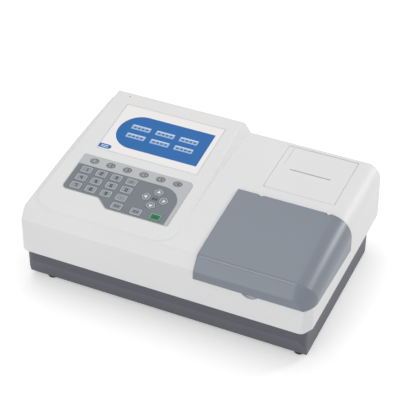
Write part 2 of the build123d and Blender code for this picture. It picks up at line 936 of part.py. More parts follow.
fan_plane = Plane((fan_x, fan_front, fan_z), x_dir=(1, 0, 0), z_dir=(0, 1, 0))
with BuildPart() as fan_frame:
    with BuildSketch(fan_plane):
        RectangleRounded(fan_size, fan_size, fan_strut)
        Circle(fan_bore_radius, mode=Mode.SUBTRACT)
        with GridLocations(fan_size - 4 * fan_strut, fan_size - 4 * fan_strut, 2, 2):
            Circle(fan_pin_radius, mode=Mode.SUBTRACT)
    extrude(amount=fan_back - fan_front)
    with BuildSketch(fan_plane):
        Circle(fan_hub_radius)
        for turn in (0, 120, 240):
            with Locations(Location((0, 0, 0), turn)):
                with Locations((fan_bore_radius / 2, 0)):
                    Rectangle(fan_bore_radius + fan_strut, fan_strut)
    extrude(amount=panel_thick)
    rod_along("Y", (fan_x, (fan_front + fan_back) / 2, fan_z), fan_pin_radius, fan_back - fan_front)
finish(fan_frame, "fan_frame")

with BuildPart() as fan_rotor:
    rotor_plane = fan_plane.offset(panel_thick + skin_gap)
    rotor_depth = fan_back - fan_front - panel_thick - 2 * skin_gap
    with BuildSketch(rotor_plane):
        Circle(fan_hub_radius)
    extrude(amount=rotor_depth)
    blade_reach = fan_blade_radius - fan_hub_radius / 2
    for index in range(fan_blades):
        turn = radians(index * 360 / fan_blades)
        middle = (fan_hub_radius / 2 + fan_blade_radius) / 2
        centre = (
            fan_x + middle * cos(turn),
            fan_front + panel_thick + skin_gap + rotor_depth / 2,
            fan_z + middle * sin(turn),
        )
        spoke = Location(centre, (0, -degrees(turn), 0)) * Location((0, 0, 0), (fan_blade_pitch, 0, 0))
        with Locations(spoke):
            Box(blade_reach, rotor_depth, panel_thick)
    with BuildSketch(rotor_plane):
        Circle(fan_blade_radius)
    extrude(amount=rotor_depth, mode=Mode.INTERSECT)
    bore = fan_pin_radius + shaft_gap
    rod_along("Y", (fan_x, fan_back, fan_z), bore, 2 * (fan_back - fan_front), mode=Mode.SUBTRACT)
finish(fan_rotor, "fan_rotor")

# Electronics in the base
with BuildPart() as power_supply:
    block(supply_left, supply_right, supply_front, supply_back, floor_z, floor_z + supply_height)
    fillet(power_supply.edges().filter_by(Axis.Z), panel_thick)
    for index in range(supply_slots):
        x = (supply_left + supply_right) / 2 + (index - (supply_slots - 1) / 2) * supply_slot_pitch
        block(
            x - supply_slot_width / 2, x + supply_slot_width / 2, supply_front + 2 * supply_slot_pitch,
            supply_back - 2 * supply_slot_width, floor_z + supply_height - panel_thick,
            floor_z + supply_height, mode=Mode.SUBTRACT,
        )
finish(power_supply, "power_supply")

board_top = main_board_z + board_thick
with BuildPart() as main_board:
    block(main_board_left, main_board_right, main_board_front, main_board_back, main_board_z, board_top)
    for x, y in board_posts:
        rod_along("Z", (x, y, main_board_z), board_hole_radius, 4 * board_thick, mode=Mode.SUBTRACT)
    for x, y, width, depth, height in board_parts:
        block(x - width / 2, x + width / 2, y - depth / 2, y + depth / 2, board_top, board_top + height)
    for x, y, radius, height in board_cans:
        rod_along("Z", (x, y, board_top + height / 2), radius, height)
finish(main_board, "main_board")

# Display and keypad on the console's face
display_plane = console_plane(display_centre_x, display_centre_y)
with BuildPart() as display_window:
    with BuildSketch(display_plane):
        Rectangle(display_width, display_height)
    extrude(amount=-display_lens)
finish(display_window, "display_window")

with BuildPart() as display_module:
    with BuildSketch(display_plane.offset(-display_lens - seat_gap)):
        hole = display_ledge + seat_gap
        Rectangle(display_width - 2 * hole, display_height - 2 * hole)
    extrude(amount=-display_module_depth)
    with BuildSketch(display_plane.offset(-wall - seat_gap)):
        Rectangle(display_width + 2 * display_frame_border, display_height + 2 * display_frame_border)
    extrude(amount=-display_frame_thick)
finish(display_module, "display_module")

with BuildPart() as keypad_overlay:
    with BuildSketch(console_plane(0, 0, overlay_proud)):
        add(keypad_outline(0))
        for name, outline, x, y, turn in key_places():
            add(key_sketch(outline, x, y, turn, key_gap), mode=Mode.SUBTRACT)
    extrude(amount=-overlay_thick)
finish(keypad_overlay, "keypad_overlay")

key_floor = key_depth + key_travel + pin_gap
with BuildPart() as keypad_board:
    with BuildSketch(console_plane(0, 0, -wall)):
        add(keypad_outline(-board_lip))
    extrude(amount=wall - key_floor - dome_height - board_thick)
    with BuildSketch(console_plane(0, 0, -wall)):
        add(keypad_outline(board_lip_inner))
    extrude(amount=wall - key_floor - dome_height, mode=Mode.SUBTRACT)
    with BuildSketch(console_plane(0, 0, -key_floor)):
        for name, outline, x, y, turn in key_places():
            with Locations((x, on_console(y))):
                Circle(dome_radius)
    extrude(amount=-dome_height)
finish(keypad_board, "keypad_board")

console_up = Axis((0, 0, 0), tuple(console_plane(0, 0).z_dir))
for name, outline, x, y, turn in key_places():
    with BuildPart() as key:
        with BuildSketch(console_plane(0, 0, key_proud)):
            add(key_sketch(outline, x, y, turn, 0))
        extrude(amount=-key_proud - key_depth)
        fillet(key.faces().sort_by(console_up)[-1].edges(), key_edge)
        with BuildSketch(console_plane(0, 0, -key_flange_top)):
            add(key_sketch(outline, x, y, turn, key_flange))
        extrude(amount=-key_flange_thick)
    finish(key, name)

# Plate lid: the body's skin lifted off the deck, turning about its back edge
with BuildPart() as plate_lid:
    add(body_form(-lid_rise))
    add(body_form(-skin_gap), mode=Mode.SUBTRACT)
    with BuildSketch(Plane.YZ.offset(lid_left)):
        with BuildLine():
            Polyline(
                (front_y - 2 * corner_round, lid_front_z), (front_y + corner_cut_y, lid_side_front_z),
                (lid_pivot_y, lid_side_back_z), (lid_pivot_y, 2 * top_z),
                (front_y - 2 * corner_round, 2 * top_z), close=True,
            )
        make_face()
    extrude(amount=body_width, mode=Mode.INTERSECT)
    edge_length = lid_edge_right - lid_left
    rod_along("X", (lid_left + edge_length / 2, lid_pivot_y, lid_pivot_z), lid_edge_radius, edge_length)
    for x in lid_knuckle_x:
        half = lid_knuckle_width / 2 + panel_gap
        block(
            x - half, x + half, lid_pivot_y - lid_notch_reach, lid_pivot_y + lid_notch_reach,
            lid_side_back_z, 2 * top_z, mode=Mode.SUBTRACT,
        )
        for side in (-1, 1):
            start = x + side * (half + lid_pin_reach)
            end = x + side * (lid_knuckle_width / 2 - lid_pin_reach)
            rod_along("X", ((start + end) / 2, lid_pivot_y, lid_pivot_z), lid_pin_radius, abs(start - end))
finish(plate_lid, "plate_lid")

with BuildPart() as chamber_liner:
    add(body_form(wall + seat_gap))
    block(liner_left, liner_right, liner_front, liner_back, liner_z, 2 * top_z, mode=Mode.INTERSECT)
    block(
        liner_left + liner_wall, liner_right - liner_wall, liner_front + liner_wall, liner_back + liner_wall,
        liner_z - liner_wall, 2 * top_z, mode=Mode.SUBTRACT,
    )
    block(
        liner_left, liner_right, liner_front - wall, liner_front + 2 * liner_wall,
        lid_opening_z, 2 * top_z, mode=Mode.SUBTRACT,
    )
finish(chamber_liner, "chamber_liner")

# Slip printer: door in the deck, frame below it and its platen roller
with BuildPart() as printer_door:
    add(body_form())
    add(body_form(door_thick), mode=Mode.SUBTRACT)
    block(
        door_left + panel_gap, door_right - panel_gap, door_front + panel_gap, door_pivot_y,
        lid_opening_z, 2 * top_z, mode=Mode.INTERSECT,
    )
    door_centre = (door_left + door_right) / 2
    door_span = door_right - door_left - 2 * panel_gap
    rod_along("X", (door_centre, door_pivot_y, door_pivot_z), door_edge_radius, door_span)
    rod_along("X", (door_centre, door_pivot_y, door_pivot_z), door_pin_radius, door_span + 2 * door_pin_reach)
    block(
        slot_left, slot_right, slot_y - slot_width / 2, slot_y + slot_width / 2,
        lid_opening_z, 2 * top_z, mode=Mode.SUBTRACT,
    )
finish(printer_door, "printer_door")

frame_left = door_left + printer_side
frame_right = door_right - printer_side
frame_front = door_front + printer_side
with BuildPart() as below_flange:
    add(body_form(wall + seat_gap).moved(Location((0, 0, -printer_wall))))
    block(
        frame_left - printer_wall, frame_right + printer_wall,
        frame_front - printer_wall, printer_back + printer_wall,
        printer_floor_z, 2 * top_z, mode=Mode.SUBTRACT,
    )

with BuildPart() as printer_frame:
    add(body_form(wall + seat_gap))
    block(
        door_left - printer_flange, door_right + printer_flange, door_front - printer_flange,
        door_back + printer_flange, printer_floor_z, 2 * top_z, mode=Mode.INTERSECT,
    )
    add(below_flange.part, mode=Mode.SUBTRACT)
    block(
        frame_left, frame_right, frame_front, printer_back,
        printer_floor_z + printer_wall, 2 * top_z, mode=Mode.SUBTRACT,
    )
    block(slot_left, slot_right, head_front, head_back, printer_floor_z + printer_wall / 2, head_top_z)
    rod_along(
        "X", ((frame_left + frame_right) / 2, roller_y, roller_z), roller_shaft_radius + shaft_gap,
        frame_right - frame_left + 4 * printer_wall, mode=Mode.SUBTRACT,
    )
finish(printer_frame, "printer_frame")

with BuildPart() as platen_roller:
    roller_x = (frame_left + frame_right) / 2
    shaft_span = frame_right - frame_left + 2 * printer_wall
    rod_along("X", (roller_x, roller_y, roller_z), roller_shaft_radius, shaft_span)
    rod_along("X", ((slot_left + slot_right) / 2, roller_y, roller_z), roller_radius, slot_right - slot_left)
finish(platen_roller, "platen_roller")

# Chassis with its rods, carrier and belt drive
rod_middle = (rod_front + rod_back) / 2
rod_length = rod_back - rod_front
with BuildPart() as chassis_plate:
    block(chassis_left, chassis_right, chassis_front, chassis_back, chassis_z, chassis_top)
    for x in rod_x:
        for y in (rod_front, rod_back - ear_length):
            block(x - ear_width / 2, x + ear_width / 2, y, y + ear_length, chassis_top, ear_top_z)
        rod_along("Y", (x, rod_middle, rod_z), rod_radius + shaft_gap, rod_length, mode=Mode.SUBTRACT)
    pilot_hole = motor_pilot_radius + seat_gap
    rod_along("Z", (pulley_x, motor_y, chassis_z), pilot_hole, 4 * chassis_thick, mode=Mode.SUBTRACT)
    pin_top = belt_z + belt_width + 2 * pulley_flange
    rod_along("Z", (pulley_x, idler_y, (chassis_z + pin_top) / 2), idler_pin_radius, pin_top - chassis_z)
finish(chassis_plate, "chassis_plate")

with BuildPart() as guide_rods:
    for x in rod_x:
        rod_along("Y", (x, rod_middle, rod_z), rod_radius, rod_length)
    chamfer(guide_rods.edges().filter_by(GeomType.CIRCLE), key_edge)
finish(guide_rods, "guide_rods")

with BuildPart() as plate_carrier:
    left = carrier_centre_x - carrier_width / 2
    right = carrier_centre_x + carrier_width / 2
    back = carrier_front + carrier_length
    middle = (carrier_front + back) / 2
    block(left, right, carrier_front, back, carrier_z, carrier_z + carrier_height)
    nest_x = (plate_width + plate_play) / 2
    nest_y = (plate_length + plate_play) / 2
    nest_z = carrier_z + carrier_height - nest_depth
    block(
        carrier_centre_x - nest_x, carrier_centre_x + nest_x, middle - nest_y, middle + nest_y,
        nest_z, carrier_z + 2 * carrier_height, mode=Mode.SUBTRACT,
    )
    block(
        carrier_centre_x - nest_x + nest_ledge, carrier_centre_x + nest_x - nest_ledge,
        middle - nest_y + nest_ledge, middle + nest_y - nest_ledge,
        carrier_z - carrier_height, carrier_z + 2 * carrier_height, mode=Mode.SUBTRACT,
    )
    for x in rod_x:
        block(
            x - ear_width / 2, x + ear_width / 2, housing_front, housing_front + housing_length,
            housing_low_z, carrier_z,
        )
        rod_along(
            "Y", (x, housing_front + housing_length / 2, rod_z), rod_radius + bush_wall,
            housing_length, mode=Mode.SUBTRACT,
        )
    block(clamp_left, left, clamp_front, clamp_front + clamp_length, clamp_low_z, carrier_z)
    block(
        pulley_x + belt_inner - seat_gap, pulley_x + belt_outer + seat_gap, clamp_front,
        clamp_front + clamp_length, clamp_low_z, belt_z + belt_width + seat_gap, mode=Mode.SUBTRACT,
    )
finish(plate_carrier, "plate_carrier")

with BuildPart() as carrier_bushes:
    for x in rod_x:
        for y in (housing_front + bush_length / 2, housing_front + housing_length - bush_length / 2):
            rod_along("Y", (x, y, rod_z), rod_radius + bush_wall - press_gap, bush_length)
        rod_along("Y", (x, rod_middle, rod_z), rod_radius + shaft_gap, rod_length, mode=Mode.SUBTRACT)
finish(carrier_bushes, "carrier_bushes")

with BuildPart() as drive_motor:
    block(
        pulley_x - motor_size / 2, pulley_x + motor_size / 2, motor_y - motor_size / 2,
        motor_y + motor_size / 2, chassis_z - motor_height, chassis_z,
    )
    chamfer(drive_motor.edges().filter_by(Axis.Z), motor_corner)
    rod_along("Z", (pulley_x, motor_y, chassis_z), motor_pilot_radius, chassis_thick)
    rod_along("Z", (pulley_x, motor_y, (chassis_z + pin_top) / 2), motor_shaft_radius, pin_top - chassis_z)
finish(drive_motor, "drive_motor")


def pulley(y, bore):
    """Flanged belt pulley at y along the belt, turning on a shaft of radius bore."""
    low = belt_z - seat_gap
    high = belt_z + belt_width + seat_gap
    with BuildPart() as wheel:
        rod_along("Z", (pulley_x, y, (low + high) / 2), pulley_radius, high - low)
        for z in (low - pulley_flange / 2, high + pulley_flange / 2):
            rod_along("Z", (pulley_x, y, z), pulley_radius + pulley_flange_reach, pulley_flange)
        rod_along("Z", (pulley_x, y, low), bore + shaft_gap, 4 * belt_width, mode=Mode.SUBTRACT)
    return wheel


finish(pulley(motor_y, motor_shaft_radius), "drive_pulley")
finish(pulley(idler_y, idler_pin_radius), "idler_pulley")

with BuildPart() as drive_belt:
    span = motor_y - idler_y
    with BuildSketch(Plane.XY.offset(belt_z)):
        with Locations(Location((pulley_x, (motor_y + idler_y) / 2, 0), 90)):
            SlotCenterToCenter(span, 2 * belt_outer)
            SlotCenterToCenter(span, 2 * belt_inner, mode=Mode.SUBTRACT)
    extrude(amount=belt_width)
finish(drive_belt, "drive_belt")

# Optics: lamp, filter wheel, bridge over the carrier and the detectors below it
with BuildPart() as lamp_module:
    right = lamp_left + lamp_width
    block(lamp_left, right, read_y - lamp_half, read_y + lamp_half, chassis_top, lamp_top_z)
    fin_pitch = 2 * lamp_half / lamp_fin_count
    for index in range(lamp_fin_count):
        y = read_y - lamp_half + (index + 1 / 2) * fin_pitch
        block(
            lamp_left, lamp_left + lamp_fin_depth, y - fin_pitch / 4, y + fin_pitch / 4,
            chassis_top, lamp_top_z, mode=Mode.SUBTRACT,
        )
    rod_along("X", (right, read_y, beam_z), lamp_lens_radius, 2 * lamp_lens_proud)
finish(lamp_module, "lamp_module")

with BuildPart() as filter_motor:
    body_x = bridge_left - filter_motor_depth / 2
    rod_along("X", (body_x, read_y, wheel_z), filter_motor_radius, filter_motor_depth)
    shaft_end = wheel_left - filter_shaft_radius
    shaft_x = (shaft_end + bridge_left) / 2
    rod_along("X", (shaft_x, read_y, wheel_z), filter_shaft_radius, bridge_left - shaft_end)
finish(filter_motor, "filter_motor")

filter_places = [
    (filter_circle * cos(radians(turn)), filter_circle * sin(radians(turn)))
    for turn in (index * 360 / filter_count for index in range(filter_count))
]
wheel_plane = Plane((wheel_left, read_y, wheel_z), x_dir=(0, 1, 0), z_dir=(1, 0, 0))
with BuildPart() as filter_wheel:
    with BuildSketch(wheel_plane):
        Circle(wheel_radius)
        Circle(filter_shaft_radius + shaft_gap, mode=Mode.SUBTRACT)
        with Locations(*filter_places):
            Circle(filter_radius, mode=Mode.SUBTRACT)
    extrude(amount=wheel_thick)
finish(filter_wheel, "filter_wheel")

with BuildPart() as optical_filters:
    with BuildSketch(wheel_plane):
        with Locations(*filter_places):
            Circle(filter_radius - press_gap)
    extrude(amount=wheel_thick)
finish(optical_filters, "optical_filters")

with BuildPart() as optics_bridge:
    block(bridge_left, bridge_left + bridge_leg, bridge_front, bridge_back, chassis_top, bridge_top_z)
    block(bridge_right - bridge_leg, bridge_right, bridge_front, bridge_back, chassis_top, bridge_top_z)
    block(bridge_left, bridge_right, bridge_front, bridge_back, bridge_beam_z, bridge_top_z)
    reach = 2 * (carrier_centre_x - bridge_left)
    rod_along("X", (bridge_left, read_y, beam_z), beam_radius, reach, mode=Mode.SUBTRACT)
    for index in range(channel_count):
        x = carrier_centre_x + (index - (channel_count - 1) / 2) * channel_pitch
        rod_along(
            "Z", (x, read_y, bridge_beam_z), channel_radius, 2 * (beam_z - bridge_beam_z), mode=Mode.SUBTRACT
        )
finish(optics_bridge, "optics_bridge")

with BuildPart() as detector_board:
    block(
        carrier_centre_x - detector_length / 2, carrier_centre_x + detector_length / 2,
        detector_front, detector_back, chassis_top, detector_top_z,
    )
    for index in range(channel_count):
        x = carrier_centre_x + (index - (channel_count - 1) / 2) * channel_pitch
        rod_along("Z", (x, read_y, detector_top_z), channel_radius, 2 * detector_well, mode=Mode.SUBTRACT)
finish(detector_board, "detector_board")
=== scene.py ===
# %% [markdown]
# # A bench microplate reader
# The reader is a white moulded body on a dark grey base. A tilted console on the left carries a display and
# a keypad, a blue-grey lid on the right covers the plate chamber, and a slip printer sits behind the lid.
# The solids come from the drawing of the part and stay as they are. This file gives each of them its finish,
# adds what is printed on them, and sets up a plain photo studio.

import math

import bmesh
import bpy
from mathutils import Matrix, Vector
from mathutils.bvhtree import BVHTree
from mathutils.geometry import tessellate_polygon


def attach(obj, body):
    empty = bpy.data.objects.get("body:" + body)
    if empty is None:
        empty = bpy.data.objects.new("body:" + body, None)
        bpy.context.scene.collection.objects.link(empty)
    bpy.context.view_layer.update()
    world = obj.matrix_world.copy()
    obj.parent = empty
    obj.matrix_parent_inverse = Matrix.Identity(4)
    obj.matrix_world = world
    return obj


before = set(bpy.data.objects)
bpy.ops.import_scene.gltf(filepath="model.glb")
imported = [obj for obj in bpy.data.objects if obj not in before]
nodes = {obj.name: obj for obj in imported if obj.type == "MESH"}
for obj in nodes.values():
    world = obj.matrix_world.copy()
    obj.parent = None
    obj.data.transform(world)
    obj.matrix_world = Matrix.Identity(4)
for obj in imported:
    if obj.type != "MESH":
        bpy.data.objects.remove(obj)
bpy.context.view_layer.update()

# %% [markdown]
# ## Millimetres and colours
# The drawing is in millimetres and the scene is in metres, so one factor turns one into the other. Colours
# are picked as screen colours, in hex, but a renderer adds light in linear values. One function turns the
# first into the second, so that every colour below can be compared with the photograph directly.

# %% Units and colour
MM = 0.001


def srgb(code, alpha=1.0):
    """Linear colour of a hex code such as E4E4E5."""
    channels = [int(code[i:i + 2], 16) / 255 for i in (0, 2, 4)]
    linear = [c / 12.92 if c <= 0.04045 else ((c + 0.055) / 1.055) ** 2.4 for c in channels]
    return (*linear, alpha)


def shade(colour, factor):
    """A linear colour made darker or lighter by a factor."""
    return tuple(min(1, c * factor) for c in colour[:3]) + (1,)


print("body white is", [round(c, 3) for c in srgb("E6E6E7")])

# %% [markdown]
# ## One helper for shader nodes
# A material is a small graph. This helper adds one node, sets what stays fixed on it and links its inputs,
# so a whole finish reads from top to bottom like a recipe.

# %% Add a node
def add_node(tree, kind, values=None, links=None, **settings):
    """Adds a shader node; settings are its options, values its fixed inputs, links its linked inputs."""
    node = tree.nodes.new(kind)
    for name, setting in settings.items():
        setattr(node, name, setting)
    for name, value in (values or {}).items():
        node.inputs[name].default_value = value
    for name, source in (links or {}).items():
        tree.links.new(source, node.inputs[name])
    return node


def new_finish(name):
    """An empty material with the object's own coordinates; close_finish adds its output node."""
    material = bpy.data.materials.new(name)
    material.use_nodes = True
    tree = material.node_tree
    tree.nodes.clear()
    place = add_node(tree, "ShaderNodeTexCoord")
    return material, tree, place.outputs["Object"]


def close_finish(tree, shader):
    """Links the finished surface to the material's output."""
    add_node(tree, "ShaderNodeOutputMaterial", links={"Surface": shader})


# %% [markdown]
# ## Moulded ABS
# The body, base and lid are injection moulded ABS with a fine spark-eroded texture. Up close that is a grain
# of about 0.3 mm; from where the camera stands it only softens the gloss. The grain is drawn at 1.2 mm, the
# smallest that still shows, as a very shallow bump. A slow variation of a percent or two keeps large faces
# from looking computed, and a small bevel in the shading rounds the sharp moulded edges.

# %% Moulded plastic
DRIFT_MM = 90  # size of the slow variation on a large face


def moulded_abs(name, code, roughness, grain_mm=1.2, grain_depth_mm=0.010, edge_mm=0.5, drift=0.03):
    """Moulded ABS of one colour with a fine texture and softly rounded edges."""
    material, tree, place = new_finish(name)
    colour = srgb(code)
    slow = add_node(
        tree, "ShaderNodeTexNoise", {"Scale": 1 / (DRIFT_MM * MM), "Detail": 2.0}, {"Vector": place}
    )
    tone = add_node(
        tree, "ShaderNodeMix", {6: shade(colour, 1 - drift), 7: shade(colour, 1 + drift)},
        {0: slow.outputs["Fac"]}, data_type="RGBA",
    )
    grain = add_node(
        tree, "ShaderNodeTexNoise", {"Scale": 1 / (grain_mm * MM), "Detail": 3.0, "Roughness": 0.6},
        {"Vector": place},
    )
    rub = add_node(
        tree, "ShaderNodeMapRange", {"To Min": roughness - 0.05, "To Max": roughness + 0.05},
        {"Value": grain.outputs["Fac"]},
    )
    edge = add_node(tree, "ShaderNodeBevel", {"Radius": edge_mm * MM}, samples=6)
    relief = add_node(
        tree, "ShaderNodeBump", {"Strength": 0.5, "Distance": grain_depth_mm * MM},
        {"Height": grain.outputs["Fac"], "Normal": edge.outputs["Normal"]},
    )
    shader = add_node(
        tree, "ShaderNodeBsdfPrincipled", {"IOR": 1.53},
        {
            "Base Color": tone.outputs[2], "Roughness": rub.outputs["Result"],
            "Normal": relief.outputs["Normal"],
        },
    )
    close_finish(tree, shader.outputs["BSDF"])
    return material


# the console, deck and front are one white; the door's thinner edge is rounded less
white_abs = moulded_abs("moulded_white_abs", "E6E6E7", 0.46)
door_abs = moulded_abs("moulded_white_abs_door", "E6E6E7", 0.46, edge_mm=0.3)
base_abs = moulded_abs("moulded_dark_grey_abs", "52535D", 0.50)
lid_abs = moulded_abs("moulded_blue_grey_abs", "7C848F", 0.34, edge_mm=1.0)
# a lighter blue-grey that is a painted highlight along the lid's crease
lid_crease_highlight = moulded_abs("painted_highlight_lid_crease", "A9AFB9", 0.30, edge_mm=0.1)
shell_line_abs = moulded_abs("moulded_white_abs_line", "B4B5B6", 0.46, edge_mm=0.1)
black_abs = moulded_abs("moulded_black_abs", "191A1C", 0.45, edge_mm=0.3)
chamber_abs = moulded_abs("moulded_charcoal_abs", "2C2D30", 0.55, edge_mm=0.3)
print("plastics:", white_abs.name, base_abs.name, lid_abs.name)

# %% [markdown]
# ## Rubber
# The feet, the platen roller and the belt are rubber: dull, nearly black, with a faint bloom that makes the
# surface a little uneven. Rubber has no clear highlight, so its roughness is high.

# %% Rubber
BLOOM_GREY = 0.06  # linear grey of the bloom


def moulded_rubber(name, code, roughness=0.75, grain_mm=1.5):
    """Moulded or ground rubber with a faint bloom."""
    material, tree, place = new_finish(name)
    bloom = add_node(
        tree, "ShaderNodeTexNoise", {"Scale": 1 / (grain_mm * MM), "Detail": 4.0}, {"Vector": place}
    )
    colour = srgb(code)
    dusty = tuple(0.7 * c + 0.3 * BLOOM_GREY for c in colour[:3]) + (1,)
    tone = add_node(
        tree, "ShaderNodeMix", {6: colour, 7: dusty}, {0: bloom.outputs["Fac"]}, data_type="RGBA"
    )
    relief = add_node(
        tree, "ShaderNodeBump", {"Strength": 0.4, "Distance": 0.02 * MM}, {"Height": bloom.outputs["Fac"]}
    )
    shader = add_node(
        tree, "ShaderNodeBsdfPrincipled", {"IOR": 1.52, "Roughness": roughness},
        {"Base Color": tone.outputs[2], "Normal": relief.outputs["Normal"]},
    )
    close_finish(tree, shader.outputs["BSDF"])
    return material


foot_rubber = moulded_rubber("moulded_foot_rubber", "17171A")
roller_rubber = moulded_rubber("ground_roller_rubber", "2A2A2C", 0.6)
belt_rubber = moulded_rubber("moulded_belt_rubber", "1B1B1D", 0.65)

# %% [markdown]
# ## Metals
# Inside are milled and anodised aluminium, ground and chromed rods, bronze bushes and plated sheet. A cut or
# brushed metal has fine lines along one direction, so a noise that is stretched along that direction drives
# the roughness and a shallow bump. Anodised and painted parts are duller and have no lines.

# %% Metals
def worked_metal(
    name, code, roughness, line_mm=0.6, stretch=(1, 1, 1), metallic=1.0, line_depth_mm=0.004
):
    """Metal with tool or grinding lines that run along the most stretched axis."""
    material, tree, place = new_finish(name)
    scale = tuple(1 / (line_mm * MM * s) for s in stretch)
    along = add_node(tree, "ShaderNodeMapping", {"Scale": scale}, {"Vector": place})
    lines = add_node(
        tree, "ShaderNodeTexNoise", {"Scale": 1.0, "Detail": 3.0}, {"Vector": along.outputs["Vector"]}
    )
    colour = srgb(code)
    tone = add_node(
        tree, "ShaderNodeMix", {6: shade(colour, 0.86), 7: colour}, {0: lines.outputs["Fac"]},
        data_type="RGBA",
    )
    rub = add_node(
        tree, "ShaderNodeMapRange", {"To Min": roughness - 0.06, "To Max": roughness + 0.08},
        {"Value": lines.outputs["Fac"]},
    )
    relief = add_node(
        tree, "ShaderNodeBump", {"Strength": 0.5, "Distance": line_depth_mm * MM},
        {"Height": lines.outputs["Fac"]},
    )
    shader = add_node(
        tree, "ShaderNodeBsdfPrincipled", {"Metallic": metallic},
        {
            "Base Color": tone.outputs[2], "Roughness": rub.outputs["Result"],
            "Normal": relief.outputs["Normal"],
        },
    )
    close_finish(tree, shader.outputs["BSDF"])
    return material


milled_aluminium = worked_metal("milled_aluminium", "CFD0D2", 0.34, stretch=(14, 1, 1))
turned_aluminium = worked_metal("turned_aluminium", "C9CACC", 0.32, stretch=(1, 1, 8))
anodised_carrier = worked_metal("anodised_aluminium_natural", "B4B6B9", 0.42, line_mm=0.9)
black_anodised = worked_metal("anodised_aluminium_black", "222326", 0.48, line_mm=0.9)
chromed_rod = worked_metal("ground_chromed_steel", "D5D6D8", 0.12, stretch=(1, 20, 1), line_depth_mm=0.001)
plated_sheet = worked_metal("zinc_plated_sheet", "B9BBBD", 0.36, line_mm=4.0)
turned_bronze = worked_metal("turned_bronze", "B08D4E", 0.30, stretch=(1, 10, 1))
painted_motor = worked_metal("painted_motor_steel", "1C1D1F", 0.50, line_mm=0.8, metallic=0.2)
powder_coat = worked_metal("powder_coated_sheet", "8E9094", 0.55, line_mm=0.8, metallic=0.0)
print("metals:", milled_aluminium.name, chromed_rod.name, plated_sheet.name)

# %% [markdown]
# ## Circuit board
# A board is glass-fibre laminate under a green solder mask. The copper tracks below the mask show as a
# slightly lighter pattern of straight runs, which a brick-like texture gives at a track spacing of 2.5 mm.

# %% Circuit board
def solder_mask(name, code, track_code, spacing_mm=2.5):
    """Green solder mask with the tracks showing faintly through it."""
    material, tree, place = new_finish(name)
    tracks = add_node(
        tree, "ShaderNodeTexBrick",
        {"Scale": 1 / (spacing_mm * MM), "Mortar Size": 0.12, "Brick Width": 4.0, "Row Height": 1.0,
         "Color1": srgb(code), "Color2": srgb(code), "Mortar": srgb(track_code)},
        {"Vector": place},
    )
    shader = add_node(
        tree, "ShaderNodeBsdfPrincipled", {"IOR": 1.55, "Roughness": 0.3, "Coat Weight": 0.3},
        {"Base Color": tracks.outputs["Color"]},
    )
    close_finish(tree, shader.outputs["BSDF"])
    return material


board_mask = solder_mask("solder_mask_green", "0E4A2C", "1B6B40")

# %% [markdown]
# ## Printed foils
# The keypad foil is clear polyester that is printed from behind, so its colour lies under a satin skin. The
# skin has a fine emboss of about 0.4 mm, drawn here at 0.9 mm. The display's front is the same kind of foil
# with a glossy window. Inks on the keys use the same recipe in their own colours.

# %% Printed foil
def printed_foil(name, code, roughness=0.45, emboss_mm=0.9, drift=0.04):
    """Back-printed polyester foil with an embossed satin skin."""
    material, tree, place = new_finish(name)
    emboss = add_node(
        tree, "ShaderNodeTexNoise", {"Scale": 1 / (emboss_mm * MM), "Detail": 2.0}, {"Vector": place}
    )
    colour = srgb(code)
    tone = add_node(
        tree, "ShaderNodeMix", {6: colour, 7: shade(colour, 1 - drift)}, {0: emboss.outputs["Fac"]},
        data_type="RGBA",
    )
    relief = add_node(
        tree, "ShaderNodeBump", {"Strength": 0.3, "Distance": 0.006 * MM}, {"Height": emboss.outputs["Fac"]}
    )
    shader = add_node(
        tree, "ShaderNodeBsdfPrincipled",
        {"IOR": 1.57, "Roughness": roughness, "Specular IOR Level": 0.3},
        {"Base Color": tone.outputs[2], "Normal": relief.outputs["Normal"]},
    )
    close_finish(tree, shader.outputs["BSDF"])
    return material


foil_light = printed_foil("printed_foil_light_grey", "BFC1C4")
foil_dark = printed_foil("printed_foil_slate", "777D85")
ink_key = printed_foil("printed_ink_key_grey", "9599A0")
ink_key_edge = printed_foil("printed_ink_key_edge", "C9CBD0")
ink_key_line = printed_foil("printed_ink_key_line", "6F747B")
ink_round = printed_foil("printed_ink_round_key", "A9ABAE")
ink_round_ring = printed_foil("printed_ink_round_ring", "6C6F74")
ink_arrow = printed_foil("printed_ink_arrow_key", "858A92")
ink_arrow_edge = printed_foil("printed_ink_arrow_edge", "B9BDC6")
ink_green = printed_foil("printed_ink_green", "0A7646")
ink_green_edge = printed_foil("printed_ink_green_edge", "9CCBB2")
ink_white = printed_foil("printed_ink_white", "F2F4F6")
ink_dark = printed_foil("printed_ink_dark", "17191D")
ink_green_dark = printed_foil("printed_ink_green_dark", "0B3A22")

# %% [markdown]
# ## The display
# A lit liquid crystal panel is a glossy sheet that also gives light of its own. A little emission on top of
# a normal surface keeps its white clean where the room light is weaker, and a fine grid at the pixel pitch,
# drawn at 0.9 mm, breaks up the flat colour.

# %% Lit panel
def lit_panel(name, code, glow=0.12, pixel_mm=0.9):
    """Area of the lit display: a glossy surface with a faint pixel grid and a little light of its own."""
    material, tree, place = new_finish(name)
    colour = srgb(code)
    grid = add_node(
        tree, "ShaderNodeTexChecker",
        {"Scale": 1 / (pixel_mm * MM), "Color1": colour, "Color2": shade(colour, 0.97)}, {"Vector": place},
    )
    shader = add_node(
        tree, "ShaderNodeBsdfPrincipled",
        {"IOR": 1.5, "Roughness": 0.3, "Specular IOR Level": 0.25, "Emission Strength": glow},
        {"Base Color": grid.outputs["Color"], "Emission Color": grid.outputs["Color"]},
    )
    close_finish(tree, shader.outputs["BSDF"])
    return material


